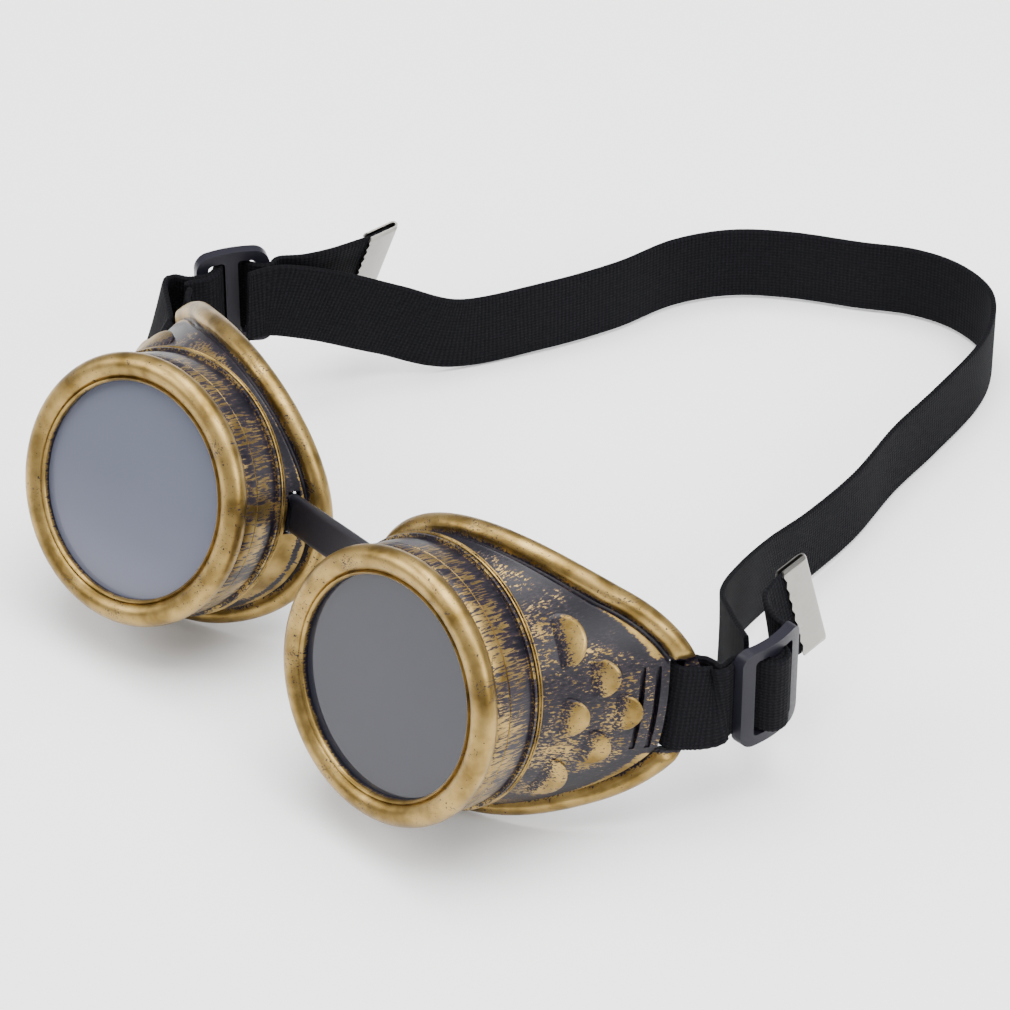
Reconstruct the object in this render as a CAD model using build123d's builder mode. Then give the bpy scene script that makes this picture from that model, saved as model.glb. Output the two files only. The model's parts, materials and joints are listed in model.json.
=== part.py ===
"""Welding goggles: two eye cups with screw rings, a rubber nose bridge, an elastic head strap.

The goggles stand on a table with the strap on edge behind them. Left and right are the
wearer's: the left cup is on +X, the lenses look towards -Y, and Z = 0 is the table.

Each cup is designed once, as the left one, in its own frame and then set down as it lies
on the table: local +Z runs out through the lens, +Y is up and +X points to the temple.
The right-hand pieces are its mirror images. Local Z = 0 is the front of the cup's flange.
"""
import os
from math import cos, radians, sin

from build123d import *

# ---------------------------------------------------------------- driving dimensions (mm)
LENS_R = 25.0            # standard 50 mm round lenses
FILTER_Z = (11.4, 13.4)  # dark filter lens, back and front
COVER_Z = (9.8, 11.3)    # clear cover lens behind it
GASKET_Z = (8.8, 9.7)    # rubber ring behind the lenses
GASKET_R = (22.5, 25.2)

BARREL_R = 26.6          # threaded barrel of the cup, plain here
BARREL_BORE_R = 24.0
BARREL_L = 8.5
FLANGE_R = 29.3
FLANGE_T = 1.3

CONE_R = 27.2            # outer radius of the cup just behind its flange
CONE_SLOPE = 0.36        # radius gained per mm towards the face
CONE_END = 64.0          # the cone is built longer than needed, then cut to the face
WALL = 1.8

FACE_R = 50.0            # the cup's open end follows a cylinder of this radius
FACE_X = -8.4            # its axis, measured from the lens axis towards the temple
FACE_DEPTH = 10.0        # shallowest depth of the cup behind the flange
FACE_TURN = 45.0         # towards the temple the face runs on straight at this angle
RIM_R = 2.2              # rolled rim along the open end
RIM_OUT = 0.4            # its centre stands this far outside the cup's surface
RIM_SHIFT = 1.5          # and this far in front of the open end
GROOVE_R = 3.6           # groove beside the rim
GROOVE_D = 0.9

STRAP_W = 19.0           # 3/4 inch elastic
STRAP_T = 1.3
SLOT_L = 20.2            # strap slot in the temple side of the cup
SLOT_W = 3.4
SLOT_DEPTH = 31.4        # distance of the slot behind the flange
SLOT_FLAT = 21.0         # length of the stretch where the rim stops for the strap
VENT_L = 18.4
VENT_W = 1.3
VENT_DEPTHS = (24.0, 27.4)

LOUVRE_PROUD = 1.9
LOUVRE_T = 2.6
# angle about the lens axis from the temple, depth behind the flange, width, length
LOUVRES = (
    (31.0, 9.2, 11.0, 6.5),
    (-31.0, 9.2, 11.0, 6.5),
    (14.0, 15.6, 8.0, 6.4),
    (-14.0, 15.6, 8.0, 6.4),
    (0.0, 9.0, 8.0, 6.4),
    (0.0, 21.0, 8.0, 6.4),
)

BRIDGE_W = 8.5           # rubber nose bridge
BRIDGE_T = 2.0
BRIDGE_ANGLE = 25.0      # its slot sits this far above the nose side of the lens axis
BRIDGE_DEPTH = 5.0
BRIDGE_CLEAR = 0.5
BRIDGE_STOP = (12.5, 4.5, 2.0)   # thicker ends inside the cups: wide, thick, long

RING_BORE_R = 27.0       # runs over the barrel
RING_POCKET_R = 25.4     # holds the lenses
RING_POCKET_Z = (8.9, 13.6)
RING_OPENING_R = 23.5
RING_REAR_R = 29.1
RING_REAR_Z = (0.35, 0.95)
RING_WALL = ((28.3, 1.4), (28.7, 7.8), (28.45, 8.0), (28.75, 8.2), (28.6, 11.4))
RING_LIP = ((29.45, 13.6), (28.3, 15.7), (26.4, 16.2), (24.3, 15.8), (23.5, 15.0))

SLIDER_L = 17.0          # three-bar slider, along the strap
SLIDER_W = 25.0
SLIDER_T = 2.4
SLIDER_BAR = 3.0
SLIDER_WINDOW_W = 20.0
SLIDER_ARCH = 1.6        # its side rails bow outwards by this much
SLIDER_CORNER = 3.0

WRAP_T = 2.2             # the two strap layers pressed together in the slider
TIP_L = 8.8              # folded metal strap end
TIP_W = 20.0
TIP_T = 2.5
TIP_FOLD = 0.9
TIP_CLEAR = 0.1

CUP_X = 41.7             # half the distance between the lens centres
LENS_CENTRE_Z = 15.8     # front of the lens opening, local

# the pieces are laid out from the table spot midway between the lens centres, and then
# shifted so that the origin is under the middle of the whole; this is that middle
ORIGIN = (-6.1, 100.5, 0.0)

LEFT, RIGHT = 1, -1
SIDES = {LEFT: "left", RIGHT: "right"}


# ---------------------------------------------------------------- places on the table
def cup_plane(side, heading, pitch, roll, height):
    """Frame of a cup whose opening is centred at (side * CUP_X, 0, height).

    heading turns the lens axis from -Y towards +X, pitch lifts it and roll leans the
    cup's top towards +X, all in degrees.
    """
    axis = Vector(0, -1, 0).rotate(Axis.X, -pitch).rotate(Axis.Z, heading)
    across = Vector(1, 0, 0).rotate(Axis.Z, heading).rotate(Axis((0, 0, 0), axis), -roll)
    centre = Vector(side * CUP_X, 0, height)
    return Plane(origin=centre - axis * LENS_CENTRE_Z, x_dir=across, z_dir=axis)


CUP_PLANES = {
    LEFT: cup_plane(LEFT, heading=3.0, pitch=16.3, roll=-5.9, height=38.3),
    RIGHT: cup_plane(RIGHT, heading=10.1, pitch=23.7, roll=17.0, height=39.6),
}
# x of a slider's frame runs along the strap away from the cup, z points outwards
SLIDER_PLANES = {
    LEFT: Plane(origin=(84.2, 69.0, 27.5), x_dir=(-0.07, 1.0, 0.0), z_dir=(1.0, 0.07, 0.0)),
    RIGHT: Plane(origin=(-93.8, 69.5, 29.0), x_dir=(0.42, 0.91, 0.0), z_dir=(-0.91, 0.42, 0.0)),
}
UP = Vector(0, 0, 1)


def cup_point(side, temple, up, depth):
    """World point on a cup: towards the temple, up, and behind the flange."""
    return CUP_PLANES[side].from_local_coords(Vector(side * temple, up, -depth))


def slider_point(side, along, out):
    """World point in a slider's frame, at the middle of the strap's width."""
    return SLIDER_PLANES[side].from_local_coords(Vector(along, 0, out))


def place(shape, side):
    """A piece designed as the left-hand one, set down on its cup's plane."""
    handed = shape if side == LEFT else shape.mirror(Plane.YZ)
    return CUP_PLANES[side].location * handed


def finish(shape, name):
    """Shift a piece to the row's origin, under the middle of the whole, and write it."""
    shape = Pos(-ORIGIN[0], -ORIGIN[1], -ORIGIN[2]) * shape
    shape.label = name
    export_step(shape, f"parts/{name}.step")


# ---------------------------------------------------------------- eye cup
def cone_radius(depth):
    return CONE_R + CONE_SLOPE * (depth - FLANGE_T)


def revolved(points):
    """Solid of revolution about the lens axis from (radius, z) points."""
    with BuildPart() as solid:
        with BuildSketch(Plane.YZ):
            with BuildLine():
                Polyline(*points, close=True)
            make_face()
        revolve(axis=Axis.Z)
    return solid.part


def cone_band(inner, outer):
    """Solid between two offsets from the cup's outer cone, from the flange back."""
    return revolved([
        (CONE_R + inner, -FLANGE_T),
        (CONE_R + outer, -FLANGE_T),
        (cone_radius(CONE_END) + outer, -CONE_END),
        (cone_radius(CONE_END) + inner, -CONE_END),
    ])


def cone_core(outer):
    """Everything inside an offset of the cup's outer cone."""
    return revolved([
        (0, -FLANGE_T),
        (CONE_R + outer, -FLANGE_T),
        (cone_radius(CONE_END) + outer, -CONE_END),
        (0, -CONE_END),
    ])


def in_front_of_face(shape, shift):
    """What is left of a shape in front of the cup's open end, less a margin of shift."""
    with BuildPart() as kept:
        add(shape)
        with BuildSketch(Plane.XZ):
            with BuildLine():
                crown = -FACE_DEPTH - FACE_R + shift
                arc = CenterArc((FACE_X, crown), FACE_R, FACE_TURN, 180 - FACE_TURN)
                straight = PolarLine(arc @ 0, 2 * CONE_END, FACE_TURN - 90)
                Polyline(
                    straight @ 1,
                    ((straight @ 1).X, -4 * CONE_END),
                    (-4 * CONE_END, -4 * CONE_END),
                    (-4 * CONE_END, (arc @ 1).Y),
                    arc @ 1,
                )
            make_face()
        extrude(amount=2 * CONE_END, both=True, mode=Mode.SUBTRACT)
    return kept.part


def rim_tube(radius):
    """Round bar along the open end of the cup, centred on the rolled rim."""
    core = in_front_of_face(cone_core(RIM_OUT), RIM_SHIFT)
    path = Wire([e for e in core.edges() if is_rim_edge(e)])
    with BuildPart() as tube:
        with BuildSketch(Plane(origin=path @ 0, z_dir=path % 0)):
            Circle(radius)
        sweep(path=path)
    return tube.part


def is_rim_edge(edge):
    return edge.geom_type != GeomType.LINE and edge.center().Z < -2 * FLANGE_T


def temple_block(width, depth, thickness):
    """Block through the temple side of the cup wall, centred at a depth behind the flange."""
    slope = Plane(
        origin=(cone_radius(depth), 0, -depth), x_dir=(0, 1, 0), z_dir=(1, 0, CONE_SLOPE)
    )
    with BuildPart() as block:
        with BuildSketch(slope):
            Rectangle(width, thickness)
        extrude(amount=6 * WALL, both=True)
    return block.part


def wall_plane(angle, depth, tilt=0.0):
    """Plane on the cup's outer surface: x around the cup, y towards the lens, z outwards."""
    out = Vector(cos(radians(angle)), sin(radians(angle)), CONE_SLOPE)
    around = Vector(-sin(radians(angle)), cos(radians(angle)), 0)
    spot = Vector(
        cone_radius(depth) * cos(radians(angle)), cone_radius(depth) * sin(radians(angle)), -depth
    )
    return Plane(origin=spot, x_dir=around, z_dir=out).rotated((tilt, 0, 0))


def louvre(angle, depth, width, length):
    """Domed vent cover: a disc tilted so that its rear edge stands proud of the wall."""
    tilt = -LOUVRE_PROUD / length * 57.3
    with BuildPart() as cover:
        with BuildSketch(wall_plane(angle, depth, tilt).offset(LOUVRE_PROUD / 2 - LOUVRE_T)):
            Ellipse(width / 2, (width + length) / 4)
        extrude(amount=LOUVRE_T)
    return cover.part


def bridge_plane():
    """Plane of the nose-bridge slot: x around the cup, y towards the lens, z outwards."""
    return wall_plane(180 - BRIDGE_ANGLE, BRIDGE_DEPTH)


def eye_cup():
    """Flange, barrel and flared body with its slots, vents, louvres and rolled rim."""
    body = in_front_of_face(cone_band(-WALL, 0), RIM_SHIFT / 3)
    groove = cone_band(-GROOVE_D, RIM_R + GROOVE_R)
    strap_side = temple_block(SLOT_FLAT, SLOT_DEPTH + RIM_R, CONE_END)
    with BuildPart() as groove_cut:
        add(rim_tube(GROOVE_R))
        add(groove, mode=Mode.INTERSECT)
        add(strap_side, mode=Mode.SUBTRACT)
    with BuildPart() as rim:
        add(rim_tube(RIM_R))
        add(strap_side, mode=Mode.SUBTRACT)
    with BuildPart() as louvres:
        for spot in LOUVRES:
            add(louvre(*spot))
        add(cone_core(-WALL), mode=Mode.SUBTRACT)
    with BuildPart() as cup:
        add(body)
        add(groove_cut.part, mode=Mode.SUBTRACT)
        add(rim.part)
        add(louvres.part)
        with BuildSketch(Plane.XY.offset(-FLANGE_T)):
            Circle(FLANGE_R)
            Circle(BARREL_BORE_R, mode=Mode.SUBTRACT)
        extrude(amount=FLANGE_T)
        with BuildSketch(Plane.XY):
            Circle(BARREL_R)
            Circle(BARREL_BORE_R, mode=Mode.SUBTRACT)
        extrude(amount=BARREL_L)
        add(temple_block(SLOT_L, SLOT_DEPTH, SLOT_W), mode=Mode.SUBTRACT)
        for depth in VENT_DEPTHS:
            add(temple_block(VENT_L, depth, VENT_W), mode=Mode.SUBTRACT)
        with BuildSketch(bridge_plane()):
            Rectangle(BRIDGE_W + 2 * BRIDGE_CLEAR, BRIDGE_T + 2 * BRIDGE_CLEAR)
        extrude(amount=3 * WALL, both=True, mode=Mode.SUBTRACT)
    return cup.part


# ---------------------------------------------------------------- lens ring and what it holds
def lens_ring():
    rear, front = RING_REAR_Z
    pocket_rear, pocket_front = RING_POCKET_Z
    return revolved([
        (RING_BORE_R, rear),
        (RING_REAR_R, rear),
        (RING_REAR_R, front),
        (RING_WALL[0][0], front),
        *RING_WALL,
        *RING_LIP,
        (RING_OPENING_R, pocket_front),
        (RING_POCKET_R, pocket_front),
        (RING_POCKET_R, pocket_rear),
        (RING_BORE_R, pocket_rear),
    ])


def disc(outer, inner, heights):
    """Flat disc or washer between two heights on the lens axis."""
    low, high = heights
    with BuildPart() as washer:
        with BuildSketch(Plane.XY.offset(low)):
            Circle(outer)
            if inner:
                Circle(inner, mode=Mode.SUBTRACT)
        extrude(amount=high - low)
    return washer.part


# ---------------------------------------------------------------- webbing and nose bridge
def band(stations, width, thickness):
    """Flat band through stations of (centre, direction across its width)."""
    centres = [Vector(centre) for centre, _ in stations]
    runs = [(b - a).normalized() for a, b in zip(centres, centres[1:])]
    faces = []
    for i, (centre, (_, across)) in enumerate(zip(centres, stations)):
        before, after = runs[max(i - 1, 0)], runs[min(i, len(runs) - 1)]
        ahead = (before + after).normalized()
        across = (across - ahead * across.dot(ahead)).normalized()
        with BuildSketch(Plane(origin=centre, x_dir=across, z_dir=ahead)) as section:
            Rectangle(width, thickness)
        faces.append(section.sketch)
    with BuildPart() as strip:
        for near, far in zip(faces, faces[1:]):
            loft([near, far], ruled=True)
    return strip.part


def nose_bridge():
    """Rubber strip between the cups, with a thicker stop inside each."""
    stations, stops = [], []
    for side in (RIGHT, LEFT):
        wall = bridge_plane()
        reach = [-WALL - 2.4, WALL + 0.6]
        spots = [wall.from_local_coords(Vector(0, 0, out)) for out in reach]
        spots = [cup_point(side, p.X, p.Y, -p.Z) for p in spots]
        across = cup_point(side, *local(wall.x_dir)) - cup_point(side, 0, 0, 0)
        across = across if across.Z > 0 else -across
        pair = [(spot, across) for spot in spots]
        stations += pair if side == RIGHT else pair[::-1]
        wide, thick, long = BRIDGE_STOP
        outward = (spots[1] - spots[0]).normalized()
        with BuildPart() as stop:
            with BuildSketch(Plane(origin=spots[0], x_dir=across, z_dir=-outward)):
                Rectangle(wide, thick)
            extrude(amount=long)
        stops.append(stop.part)
    with BuildPart() as bridge:
        add(band(stations, BRIDGE_W, BRIDGE_T))
        add(stops)
    return bridge.part


def local(vector):
    return vector.X, vector.Y, -vector.Z


HEAD_STRAP = (            # middle of the strap and the height of its top edge
    (70.0, 71.0, 37.0),
    (60.0, 78.0, 33.0),
    (52.0, 90.0, 28.0),
    (45.0, 106.0, 23.0),
    (41.0, 122.0, 20.0),
    (37.0, 140.0, 19.2),
    (31.0, 158.0, 19.2),
    (27.0, 175.0, 19.2),
    (22.0, 193.0, 19.2),
    (16.0, 204.0, 19.2),
    (8.0, 211.0, 19.2),
    (-3.0, 212.5, 19.2),
    (-14.0, 209.0, 19.2),
    (-25.0, 201.0, 19.2),
    (-38.0, 192.0, 19.2),
    (-48.0, 182.0, 19.2),
    (-54.0, 169.0, 19.2),
    (-56.0, 153.0, 19.2),
    (-61.0, 135.0, 19.2),
    (-69.0, 115.0, 19.5),
    (-76.5, 101.0, 26.0),
    (-82.0, 88.0, 33.0),
)


def head_strap():
    """Elastic round the back of the head, from the left slider's bar to the right one's."""
    low = STRAP_W / 2
    stations = [((80.0, 66.2, 29.5), UP)]
    stations += [((x, y, top - low), UP) for x, y, top in HEAD_STRAP]
    stations += [((-86.0, 76.5, 28.5), UP), (slider_point(RIGHT, 2.5, -5.4), UP)]
    return band(stations, STRAP_W, STRAP_T)


# outer and inner layer of each loop: spots on the cup, then spots on the way to the slider
LOOPS = {
    LEFT: (
        ((42.0, 38.5), (40.3, 34.6), (38.4, 31.8)),
        ((35.0, 32.4), (34.9, 36.6)),
        (),
        ((77.4, 56.4, 27.8),),
    ),
    RIGHT: (
        ((40.6, 34.6), (38.4, 31.8)),
        ((35.0, 32.4), (34.9, 36.8), (37.2, 41.5)),
        ((-98.6, 55.2, 29.3), (-98.0, 51.5, 30.0)),
        ((-91.8, 53.2, 28.8), (-94.2, 56.0, 29.0)),
    ),
}
LOOP_END = 10.9           # both layers end this far from the middle of the slider
LOOP_OUT = (-3.2, -4.6)


def strap_loop(side):
    """Webbing from the slider out through the cup's slot and back, in two layers."""
    outer, inner, outer_free, inner_free = LOOPS[side]
    lean = cup_point(side, 0, 1, 0) - cup_point(side, 0, 0, 0)
    half = (lean + UP) * 0.5
    stations = [(slider_point(side, -LOOP_END, LOOP_OUT[0]), UP)]
    stations += [(spot, half) for spot in outer_free]
    stations += [(cup_point(side, temple, 0, depth), lean) for temple, depth in outer]
    stations += [(cup_point(side, temple, 0, depth), lean) for temple, depth in inner]
    stations += [(spot, half) for spot in inner_free]
    stations += [(slider_point(side, -LOOP_END - STRAP_T / 2, LOOP_OUT[1]), UP)]
    return band(stations, STRAP_W, STRAP_T)


# spots of the strap in the slider: along it from its middle, and outwards
WRAP = ((-9.5, -3.9), (-6.6, -3.7), (-4.3, -2.2), (-2.0, 1.9), (0.0, 2.4), (2.0, 1.9), (3.9, -0.8))
TAIL_START = ((3.6, -0.2), (5.0, -2.2), (7.0, -2.95))
TAILS = {
    LEFT: (
        ((77.6, 77.4, 27.6), (-0.05, -0.02, 1.0)),
        ((74.0, 79.0, 27.7), (-0.12, -0.05, 0.99)),
        ((71.3, 81.7, 27.7), (-0.2, -0.09, 0.97)),
        ((70.5, 84.8, 27.7), (-0.28, -0.11, 0.95)),
        ((70.0, 87.7, 27.6), (-0.325, -0.122, 0.939)),
    ),
    RIGHT: (
        ((-88.2, 79.0, 28.9), (0.0, 0.0, 1.0)),
        ((-86.4, 84.5, 28.7), (0.12, -0.06, 1.0)),
        ((-85.6, 91.5, 28.5), (0.25, -0.13, 0.96)),
        ((-85.6, 99.6, 28.2), (0.353, -0.188, 0.917)),
    ),
}
TAIL_IN_TIP = 6.5


def tail_end(side):
    """Where the tail enters its metal tip, the way it points and the way across it."""
    (before, _), (end, across) = TAILS[side][-2:]
    ahead = (Vector(end) - Vector(before)).normalized()
    across = Vector(across)
    across = (across - ahead * across.dot(ahead)).normalized()
    return Vector(end), ahead, across


def strap_tail(side):
    """Both layers over the slider's middle bar, then the free end of the webbing."""
    end, ahead, across = tail_end(side)
    wrap = [(slider_point(side, along, out), UP) for along, out in WRAP]
    tail = [(slider_point(side, along, out), UP) for along, out in TAIL_START]
    tail += [(Vector(spot), Vector(lean)) for spot, lean in TAILS[side]]
    tail.append((end + ahead * TAIL_IN_TIP, across))
    with BuildPart() as webbing:
        add(band(wrap, STRAP_W, WRAP_T))
        add(band(tail, STRAP_W, STRAP_T))
    return webbing.part


def strap_tip(side):
    """Metal plate folded over the end of the webbing."""
    end, ahead, across = tail_end(side)
    with BuildPart() as tip:
        with BuildSketch(Plane(origin=end, x_dir=across, z_dir=ahead)):
            Rectangle(TIP_W, TIP_T)
        extrude(amount=TIP_L)
        with BuildSketch(Plane(origin=end, x_dir=across, z_dir=ahead)):
            Rectangle(2 * TIP_W, STRAP_T + 2 * TIP_CLEAR)
        extrude(amount=TIP_L - TIP_FOLD, mode=Mode.SUBTRACT)
    return tip.part


def slider(side):
    """Arched frame with two windows either side of a middle bar."""
    bow = (SLIDER_L ** 2 / 4 + SLIDER_ARCH ** 2) / (2 * SLIDER_ARCH)
    window = (SLIDER_L - 3 * SLIDER_BAR) / 2
    with BuildPart() as arch:
        with BuildSketch(Plane.XZ):
            with Locations((0, -bow)):
                Circle(bow + SLIDER_T / 2)
                Circle(bow - SLIDER_T / 2, mode=Mode.SUBTRACT)
        extrude(amount=SLIDER_W, both=True)
        with BuildSketch(Plane.XY.offset(-SLIDER_ARCH - SLIDER_T)):
            RectangleRounded(SLIDER_L, SLIDER_W, SLIDER_CORNER)
            with GridLocations(window + SLIDER_BAR, 0, 2, 1):
                RectangleRounded(window, SLIDER_WINDOW_W, window / 4, mode=Mode.SUBTRACT)
        extrude(amount=SLIDER_ARCH + 2 * SLIDER_T, mode=Mode.INTERSECT)
    return SLIDER_PLANES[side].location * arch.part


# ---------------------------------------------------------------- write every piece
os.makedirs("parts", exist_ok=True)

CUP = eye_cup()
ON_CUP = {
    "eye_cup": CUP,
    "lens_ring": lens_ring(),
    "filter_lens": disc(LENS_R, 0, FILTER_Z),
    "cover_lens": disc(LENS_R, 0, COVER_Z),
    "lens_gasket": disc(GASKET_R[1], GASKET_R[0], GASKET_Z),
}
for side, prefix in SIDES.items():
    for name, shape in ON_CUP.items():
        finish(place(shape, side), f"{prefix}_{name}")
    finish(slider(side), f"{prefix}_slider")
    finish(strap_loop(side), f"{prefix}_strap_loop")
    finish(strap_tail(side), f"{prefix}_strap_tail")
    finish(strap_tip(side), f"{prefix}_strap_tip")
finish(nose_bridge(), "nose_bridge")
finish(head_strap(), "head_strap")
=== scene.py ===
"""Welding goggles on a pale floor: detailed cups, rings, webbing and small metal parts.

Lengths in this script are millimetres until a mesh is made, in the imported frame: +Z up, the
lenses look towards -Y and +X is the wearer's left. A cup's own coordinates are t towards its
temple, u up its face and b behind the front of its flange, all read from the record's mounts.
"""
import json
from math import cos, pi, radians, sin

import bmesh
import bpy
import numpy as np
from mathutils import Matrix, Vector
from mathutils.kdtree import KDTree


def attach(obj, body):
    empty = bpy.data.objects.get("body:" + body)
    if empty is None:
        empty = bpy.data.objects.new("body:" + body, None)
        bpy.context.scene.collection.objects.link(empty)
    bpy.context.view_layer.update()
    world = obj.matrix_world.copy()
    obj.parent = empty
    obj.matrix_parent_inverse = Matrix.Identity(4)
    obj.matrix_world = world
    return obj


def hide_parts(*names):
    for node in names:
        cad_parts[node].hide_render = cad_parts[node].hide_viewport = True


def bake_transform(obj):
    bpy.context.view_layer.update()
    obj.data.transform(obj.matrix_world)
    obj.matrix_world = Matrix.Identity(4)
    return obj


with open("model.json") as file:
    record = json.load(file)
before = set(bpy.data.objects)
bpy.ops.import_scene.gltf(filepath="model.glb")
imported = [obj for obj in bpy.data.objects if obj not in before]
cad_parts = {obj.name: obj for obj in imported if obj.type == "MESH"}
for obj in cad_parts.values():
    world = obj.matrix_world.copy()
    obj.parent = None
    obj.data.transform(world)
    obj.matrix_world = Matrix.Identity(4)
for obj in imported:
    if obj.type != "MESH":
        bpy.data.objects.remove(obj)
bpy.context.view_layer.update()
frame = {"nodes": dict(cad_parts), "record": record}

MM = 0.001
SIDES = {"left": 1, "right": -1}
MOUNTS = {m["name"]: m for m in frame["record"]["mounts"]}

# ---------------------------------------------------------------- dimensions (mm)
OPENING_Z = 14.3          # the lens_opening mounts lie this far in front of the flange
BARREL_R, BARREL_BORE_R, BARREL_L = 26.6, 24.0, 8.5
CONE_R, CONE_SLOPE, CONE_START = 27.2, 0.36, 1.3
WALL = 1.8
FACE_R, FACE_X, FACE_DEPTH, FACE_TURN = 50.0, -8.4, 10.0, 45.0
SLOT_DEPTH, SLOT_L, SLOT_W = 31.4, 20.4, 3.4
VENT_DEPTHS, VENT_L, VENT_W, VENT_CUT = (24.0, 27.4), 18.4, 1.3, 1.5
BRIDGE_ANGLE, BRIDGE_DEPTH = 25.0, 5.0
BRIDGE_W, BRIDGE_T = 8.5, 2.0
STRAP_W, STRAP_T = 19.0, 1.3
THROUGH = 6.0             # half the length of a cutter that goes through the wall
LOUVRES = (               # angle from the temple, depth, width, length
    (31.0, 9.6, 11.5, 6.6),
    (-31.0, 9.6, 11.5, 6.6),
    (14.0, 15.8, 8.4, 6.4),
    (-14.0, 15.8, 8.4, 6.4),
    (0.0, 9.4, 8.4, 6.4),
    (0.0, 21.0, 8.2, 6.2),
)
# the camera stands this far from the point midway between the lens openings
CAMERA_FROM_LENSES = (637.0, -486.3, 658.0)
CAMERA_LOOKS = (-0.5895, 0.5147, -0.6225)
CAMERA_LENS = 178.2
LAYOUT = np.array([-6.1, 100.5, 0.0])   # the frame's origin in the layout the strap is given in


# ---------------------------------------------------------------- cup frames
class Cup:
    """A cup's own axes, from its lens opening and strap slot mounts."""

    def __init__(self, side):
        self.side = side
        opening, slot = MOUNTS[f"{side}_lens_opening"], MOUNTS[f"{side}_strap_slot"]
        self.n = np.array(opening["axis"], float)
        self.t = np.array(slot["axis"], float)
        self.u = SIDES[side] * np.cross(self.n, self.t)
        self.origin = np.array(opening["pos_m"], float) / MM - self.n * OPENING_Z

    def world(self, points):
        """Row-frame points from (t, u, z) points, z running out through the lens."""
        points = np.asarray(points, float)
        return self.origin + points @ np.array([self.t, self.u, self.n])

    def local(self, points):
        return (np.asarray(points, float) - self.origin) @ np.array([self.t, self.u, self.n]).T

    def way(self, vector):
        return np.asarray(vector, float) @ np.array([self.t, self.u, self.n])


CUPS = {side: Cup(side) for side in SIDES}


# ---------------------------------------------------------------- mesh helpers
def new_object(name, verts, faces):
    mesh = bpy.data.meshes.new(name)
    mesh.from_pydata((np.asarray(verts) * MM).tolist(), [], faces)
    mesh.validate()
    obj = bpy.data.objects.new(name, mesh)
    bpy.context.scene.collection.objects.link(obj)
    return obj


def outward(obj):
    """Point every face outwards and shade smooth, with edges over 40 degrees kept sharp."""
    bm = bmesh.new()
    bm.from_mesh(obj.data)
    bmesh.ops.remove_doubles(bm, verts=bm.verts, dist=2e-6)
    bmesh.ops.recalc_face_normals(bm, faces=bm.faces)
    bm.to_mesh(obj.data)
    bm.free()
    obj.data.shade_smooth()
    obj.data.set_sharp_from_angle(angle=radians(40))
    return obj


def grid_faces(rows, cols, row_loop, col_loop, start=0):
    faces = []
    for i in range(rows if row_loop else rows - 1):
        for j in range(cols if col_loop else cols - 1):
            a, b = i * cols + j, i * cols + (j + 1) % cols
            c, d = ((i + 1) % rows) * cols + (j + 1) % cols, ((i + 1) % rows) * cols + j
            faces.append((a + start, b + start, c + start, d + start))
    return faces


def lattice(name, grid, row_loop=False, col_loop=False, caps=False):
    """Object from a rows x cols x 3 array of points; caps close the first and last row."""
    rows, cols, _ = grid.shape
    faces = grid_faces(rows, cols, row_loop, col_loop)
    if caps:
        faces += [tuple(range(cols)), tuple((rows - 1) * cols + j for j in reversed(range(cols)))]
    return outward(new_object(name, grid.reshape(-1, 3), faces))


def revolve(name, cup, profile, segments):
    """Closed (radius, z) profile turned about a cup's lens axis."""
    profile = np.asarray(profile, float)
    angles = np.linspace(0, 2 * pi, segments, endpoint=False)
    grid = np.empty((len(profile), segments, 3))
    grid[..., 0] = profile[:, :1] * np.cos(angles)
    grid[..., 1] = profile[:, :1] * np.sin(angles)
    grid[..., 2] = profile[:, 1:]
    return lattice(name, cup.world(grid), row_loop=True, col_loop=True)


CURVE_STEPS = 40          # sub-steps between two given points of a smooth path


def smooth_path(points, step):
    """Evenly spaced points and their distances along a smooth curve through the given ones."""
    points = np.asarray(points, float)
    padded = np.vstack([2 * points[0] - points[1], points, 2 * points[-1] - points[-2]])
    dense = []
    for i in range(1, len(padded) - 2):
        p0, p1, p2, p3 = padded[i - 1:i + 3]
        for s in np.linspace(0, 1, CURVE_STEPS, endpoint=False):
            dense.append(0.5 * (2 * p1 + (p2 - p0) * s + (2 * p0 - 5 * p1 + 4 * p2 - p3) * s ** 2
                                + (3 * p1 - p0 - 3 * p2 + p3) * s ** 3))
    dense = np.array(dense + [points[-1]])
    run = np.concatenate([[0], np.cumsum(np.linalg.norm(np.diff(dense[:, :3], axis=0), axis=1))])
    count = max(int(run[-1] / step), 2)
    spots = np.linspace(0, run[-1], count + 1)
    return np.stack([np.interp(spots, run, dense[:, k]) for k in range(dense.shape[1])], axis=1), spots


def set_vector(obj, name, values):
    layer = obj.data.attributes.new(name, "FLOAT_VECTOR", "POINT")
    layer.data.foreach_set("vector", np.asarray(values, np.float32).ravel())


def set_float(obj, name, values):
    layer = obj.data.attributes.new(name, "FLOAT", "POINT")
    layer.data.foreach_set("value", np.asarray(values, np.float32).ravel())


def vertex_points(obj):
    flat = np.empty(len(obj.data.vertices) * 3)
    obj.data.vertices.foreach_get("co", flat)
    return flat.reshape(-1, 3) / MM


def fade(value, low, high):
    """0 at low, 1 at high, smooth between; low may be the larger."""
    s = np.clip((np.asarray(value, float) - low) / (high - low), 0, 1)
    return s * s * (3 - 2 * s)


def boolean(obj, cutter, operation):
    modifier = obj.modifiers.new("cut", "BOOLEAN")
    modifier.operation, modifier.object, modifier.solver = operation, cutter, "EXACT"
    bpy.context.view_layer.update()
    done = bpy.data.meshes.new_from_object(obj.evaluated_get(bpy.context.evaluated_depsgraph_get()))
    obj.modifiers.clear()
    obj.data = done
    bpy.data.objects.remove(cutter)


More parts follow.
